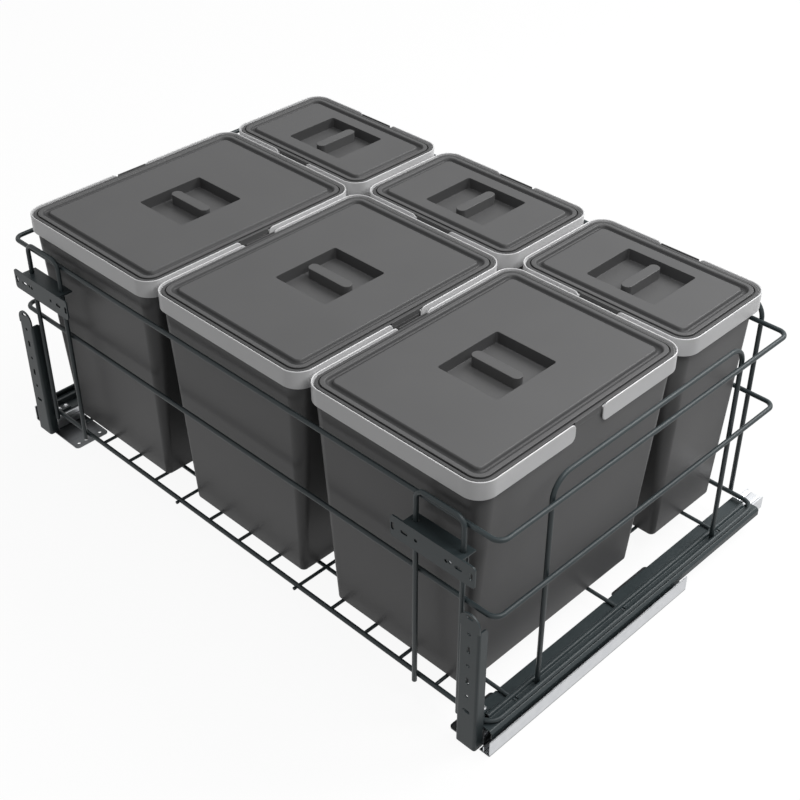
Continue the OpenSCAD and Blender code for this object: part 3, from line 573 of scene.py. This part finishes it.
def make_band(name, low, high, gap, axis):
    """The upright band, broken at the gap, with a wall and eased edges."""
    centre = (low + high) / 2
    made = rounded_plate(name, low, high, low.z, RIM_CORNER)
    bpy.ops.mesh.extrude_region_move(TRANSFORM_OT_translate={"value": (0, 0, high.z - low.z)})
    pick_faces(made, lambda at, normal: abs(normal.z) > FACES_UP)
    bpy.ops.mesh.delete(type="FACE")
    cut_at_gap(centre, gap, axis)
    along = 1 - axis
    pick_faces(made, lambda at, normal: abs((at - centre)[along]) < gap / 2 - GAP_CLEAR)
    bpy.ops.mesh.delete(type="FACE")
    pick_gap_ends(made, centre, gap, along)
    bpy.ops.mesh.bevel(offset=GAP_CORNER, segments=GAP_CORNER_STEPS, affect="VERTICES")
    bpy.ops.mesh.select_all(action="SELECT")
    bpy.ops.mesh.normals_make_consistent(inside=False)
    bpy.ops.object.mode_set(mode="OBJECT")
    apply_modifier(made, "SOLIDIFY", thickness=RIM_WALL, offset=-1, use_even_offset=True)
    apply_modifier(made, "BEVEL", width=RIM_EDGE, segments=EDGE_STEPS, limit_method="ANGLE",
                   angle_limit=radians(50))
    return finish_piece(made)


def make_ledge(low, high, gap, axis):
    """The flat ring inside the band on which the lid lies, set back behind the bin's tabs."""
    centre = (low + high) / 2
    inset = Vector((RIM_WALL, RIM_WALL, 0))
    made = rounded_plate("ledge", low + inset, high - inset, high.z - LEDGE_DROP,
                         RIM_CORNER - RIM_WALL)
    bpy.ops.mesh.select_mode(type="FACE")
    bpy.ops.mesh.select_all(action="SELECT")
    bpy.ops.mesh.inset(thickness=TAB_ROOM - RIM_WALL)
    bpy.ops.mesh.inset(thickness=LEDGE - TAB_ROOM + RIM_WALL)
    bpy.ops.mesh.delete(type="FACE")
    cut_at_gap(centre, gap + GAP_CLEAR, axis)
    reach = (high - low)[axis] / 2 - TAB_ROOM
    pick_faces(made, lambda at, normal: abs((at - centre)[axis]) > reach
               and abs((at - centre)[1 - axis]) < gap / 2)
    bpy.ops.mesh.delete(type="FACE")
    bpy.ops.object.mode_set(mode="OBJECT")
    apply_modifier(made, "SOLIDIFY", thickness=LEDGE_T, offset=-1)
    bpy.ops.object.shade_smooth_by_angle(angle=PIECE_SMOOTH)
    return made


for size, (gap, axis) in GAPS.items():
    low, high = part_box(f"centre_{size}_rim")
    name = f"band_centre_{size}_rim"
    model = join_pieces([make_band(name, low, high, gap, axis),
                         make_ledge(low, high, gap, axis)], name)
    fill_columns(model, "band_", f"{size}_rim", rim_plastic)

# Lids. Flat dark grey mouldings that drop into the rims. The edge is stepped, a fine line and
# a deep round groove follow it, and a square recess in the middle holds a grip bar, which is
# one moulding with its floor. Shade is painted into the colour of the line, the groove and the
# stepped edge, and more lightly into the recess's walls, so they are darker than the flat top.
LID_GREY = (0.077, 0.077, 0.078)
LID_GREY_LIGHT = (0.083, 0.083, 0.084)
LID_PAINTED_SHADE = (0.034, 0.034, 0.035)
# Painted shade: how deep under the top it starts and is full, how far round the recess it keeps
# off, and its share on the recess's walls.
SHADE_FROM, SHADE_TO = 0.15 * MM, 2.2 * MM
SHADE_CLEAR = 3 * MM
RECESS_SHADE = 0.6
# The lid's section, from its underside out and over the top, in mm: how far in from the edge,
# how far under the top, and the corner radius there.
UNDER_LOOPS = ((22, 3.9, 5.5), (20.8, 6.2, 7.5), (10.2, 6.2, 13.5), (8.8, 3.9, 14.5))
EDGE_LOOPS = ((1.4, 3.9, 19.4), (0.6, 3.5, 20.2), (0.4, 2.4, 20.4), (0.6, 1.4, 20.2),
              (1.2, 1.0, 19.6))
LINE_LOOPS = ((4.1, 1.1, 17.4), (4.4, 3.0, 17.2), (5.7, 3.0, 16.4), (5.9, 0.3, 16.2),
              (6.3, 0, 15.9))
GROOVE_LOOPS = ((10.2, 0, 12.1), (10.8, 0.2, 11.8), (11.4, 0.9, 11.4), (12.1, 2.2, 11.0),
                (12.9, 3.4, 10.5), (13.9, 4.0, 9.9), (15.1, 4.2, 9.2), (16.4, 4.0, 8.5),
                (17.4, 3.4, 7.9), (18.3, 2.2, 7.3), (19.1, 0.9, 6.7), (19.8, 0.2, 6.1),
                (20.4, 0, 5.6))
# The recess in the same way: how far out from its opening, how far under the top, the corner.
RECESS_DEPTH = 14
RECESS_LOOPS = ((0.7, 0, 3.7), (0.2, 0.2, 3.2), (0, 0.7, 3), (-0.9, RECESS_DEPTH - 1, 2.6),
                (-1.2, RECESS_DEPTH - 0.3, 2.5), (-1.9, RECESS_DEPTH, 2.1))
RECESSES = {"large": (85.5 * MM, 97 * MM), "small": (98 * MM, 83 * MM)}
GRIP_WIDTH = 14.3 * MM
GRIP_GAP = 8.3 * MM
GRIP_END = 0.3 * MM
# The grip bar's eased top, in mm: how far in from its sides, and how far under the top.
GRIP_LOOPS = ((0, RECESS_DEPTH + 0.5), (0, 0.8), (0.06, 0.45), (0.3, 0.15), (0.8, 0))

lid_plastic = new_material("lid_plastic", LID_GREY, metallic=0.0, roughness=0.46, specular=0.25)
tint(lid_plastic, object_noise(lid_plastic, 10, detail=2), LID_GREY, LID_GREY_LIGHT)
grain(lid_plastic, object_noise(lid_plastic, MOULD_SCALE, detail=2), strength=0.2, depth=0.04 * MM)
# Painted shade: the lid's colour is mixed towards a dark tone where a vertex attribute marks the
# groove, the edge and the recess's walls.
painted_shade_mark = lid_plastic.node_tree.nodes.new("ShaderNodeAttribute")
painted_shade_mark.attribute_name = "low"
paint_shade(lid_plastic, painted_shade_mark.outputs["Fac"], LID_PAINTED_SHADE)


def mark_painted_shade(made, centre, top, recess):
    """Marks, in its own attribute, where shade is painted: the line, the groove and the recess's
    walls.
    """
    marks = made.data.attributes.new(painted_shade_mark.attribute_name, "FLOAT", "POINT")
    recess_floor = top - RECESS_DEPTH * MM + HAIR
    for vertex, mark in zip(made.data.vertices, marks.data):
        share = (top - vertex.co.z - SHADE_FROM) / (SHADE_TO - SHADE_FROM)
        apart = vertex.co - centre
        if any(abs(apart[axis]) > recess[axis] / 2 + SHADE_CLEAR for axis in (0, 1)):
            mark.value = min(max(share, 0), 1)
        else:
            mark.value = RECESS_SHADE if 0 < share and vertex.co.z > recess_floor else 0
    return made


def make_lid(name, low, high, recess):
    """Skins the lid from under its recess, out round its edge and in across its top."""
    centre, half, top = (low + high) / 2, (high - low) / 2, high.z

    def edge_ring(inset, drop, corner):
        return half.x - inset * MM, half.y - inset * MM, corner * MM, top - drop * MM

    def recess_ring(grow, drop, corner):
        return recess[0] / 2 + grow * MM, recess[1] / 2 + grow * MM, corner * MM, top - drop * MM

    under = (high.z - low.z) / MM
    loops = [recess_ring(*loop) for loop in ((0, under, 3), (1, under - 1, 4), (2, 3.9, 4))]
    loops += [edge_ring(*loop) for loop in UNDER_LOOPS + EDGE_LOOPS + LINE_LOOPS + GROOVE_LOOPS]
    loops += [recess_ring(*loop) for loop in RECESS_LOOPS]
    return mark_painted_shade(finish_piece(skin(name, centre, loops)), centre, top, recess)


def make_grip(centre, top, length, turned):
    """The grip bar: a round-ended block that stands on the recess's floor."""
    wide, deep = (GRIP_WIDTH / 2, length / 2) if turned else (length / 2, GRIP_WIDTH / 2)
    round_end = GRIP_WIDTH / 2 - GRIP_END
    loops = [(wide - inset * MM, deep - inset * MM, round_end - inset * MM, top - drop * MM)
             for inset, drop in GRIP_LOOPS]
    return finish_piece(skin("grip", centre, loops))


for size, recess in RECESSES.items():
    low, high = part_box(f"centre_{size}_lid")
    name = f"lid_centre_{size}_lid"
    turned = size == "small"
    length = recess[1 if turned else 0] - 2 * GRIP_GAP
    model = join_pieces([make_lid(name, low, high, recess),
                         make_grip((low + high) / 2, high.z, length, turned)], name)
    fill_columns(model, "lid_", f"{size}_lid", lid_plastic)

# Floor and light. A white studio floor that keeps a soft shadow, a surround that is white to the
# camera and to glossy surfaces but lights the part less from the right, a large soft key lamp
# behind on the right, and a small fill lamp above the right side.
FLOOR_SIZE = 12
FLOOR_DROP = 0.4 * MM
FLOOR_GREY = (0.14, 0.14, 0.14)
FLOOR_WHITE = (0.95, 0.95, 0.95)
FLOOR_GLOW = 0.93
SKY = 0.53
SKY_RIGHT = 0
# Each lamp's name, place, size in metres and power in watts.
LAMPS = (("key_lamp", (0.9, 1.9, 2.4), 1.8, 83), ("fill_lamp", (0.88, -0.12, 1.12), 0.4, 5))


def seen_directly(nodes, links):
    """One for rays from the camera, a mirror or a clear piece, zero for the light on the part."""
    path = nodes.new("ShaderNodeLightPath")
    seen = path.outputs["Is Camera Ray"]
    for ray in ("Is Glossy Ray", "Is Transmission Ray"):
        either = nodes.new("ShaderNodeMath")
        either.operation = "MAXIMUM"
        links.new(seen, either.inputs[0])
        links.new(path.outputs[ray], either.inputs[1])
        seen = either.outputs["Value"]
    return seen


bpy.ops.object.select_all(action="DESELECT")
bpy.ops.mesh.primitive_plane_add(size=FLOOR_SIZE, location=(0, 0, -FLOOR_DROP))
floor = bpy.context.object
floor.name = "studio_floor"
floor_paint = new_material("studio_white", FLOOR_WHITE, metallic=0, roughness=0.9)
nodes, links = floor_paint.node_tree.nodes, floor_paint.node_tree.links
seen = seen_directly(nodes, links)
tone = nodes.new("ShaderNodeMix")
tone.data_type = "RGBA"
tone.inputs["A"].default_value = (*FLOOR_GREY, 1)
tone.inputs["B"].default_value = (*FLOOR_WHITE, 1)
links.new(seen, tone.inputs["Factor"])
links.new(tone.outputs["Result"], nodes["Principled BSDF"].inputs["Base Color"])
share = nodes.new("ShaderNodeMath")
share.operation = "MULTIPLY"
share.inputs[1].default_value = FLOOR_GLOW
links.new(seen, share.inputs[0])
glow = nodes.new("ShaderNodeEmission")
both = nodes.new("ShaderNodeMixShader")
links.new(share.outputs["Value"], both.inputs["Fac"])
links.new(nodes["Principled BSDF"].outputs["BSDF"], both.inputs[1])
links.new(glow.outputs["Emission"], both.inputs[2])
links.new(both.outputs["Shader"], nodes["Material Output"].inputs["Surface"])
floor.data.materials.append(floor_paint)

world = bpy.data.worlds.new("studio")
bpy.context.scene.world = world
world.use_nodes = True
nodes, links = world.node_tree.nodes, world.node_tree.links
nodes["Background"].inputs["Color"].default_value = (1, 1, 1, 1)
sky = nodes.new("ShaderNodeMapRange")
sky.inputs["To Min"].default_value = SKY
sky.inputs["To Max"].default_value = 1
links.new(seen_directly(nodes, links), sky.inputs["Value"])
direction = nodes.new("ShaderNodeSeparateXYZ")
links.new(nodes.new("ShaderNodeTexCoord").outputs["Generated"], direction.inputs["Vector"])
fall_off = nodes.new("ShaderNodeMapRange")
fall_off.inputs["To Min"].default_value = SKY
fall_off.inputs["To Max"].default_value = SKY_RIGHT
links.new(direction.outputs["X"], fall_off.inputs["Value"])
links.new(fall_off.outputs["Result"], sky.inputs["To Min"])
links.new(sky.outputs["Result"], nodes["Background"].inputs["Strength"])

for name, place, size, power in LAMPS:
    lamp = bpy.data.lights.new(name, "AREA")
    lamp.shape = "SQUARE"
    lamp.size = size
    lamp.energy = power
    holder = bpy.data.objects.new(name, lamp)
    bpy.context.scene.collection.objects.link(holder)
    holder.location = place
    holder.rotation_euler = (-Vector(place)).to_track_quat("-Z", "Y").to_euler()

# Camera. It stands where the photograph was taken from, above the front right corner, and
# looks down at the bins through a long lens.
CAMERA_PLACE = (1.0561, -1.0488, 1.2106)
CAMERA_DOWN = 36.426
CAMERA_ROUND = 44.525
LENS = 63.19
SENSOR = 36

camera = bpy.data.cameras.new("camera")
camera.lens = LENS
camera.sensor_width = SENSOR
camera.sensor_fit = "AUTO"
holder = bpy.data.objects.new("camera", camera)
bpy.context.scene.collection.objects.link(holder)
holder.location = CAMERA_PLACE
holder.rotation_euler = (radians(90 - CAMERA_DOWN), 0, radians(CAMERA_ROUND))
bpy.context.scene.camera = holder
bpy.context.scene.view_settings.view_transform = "Standard"
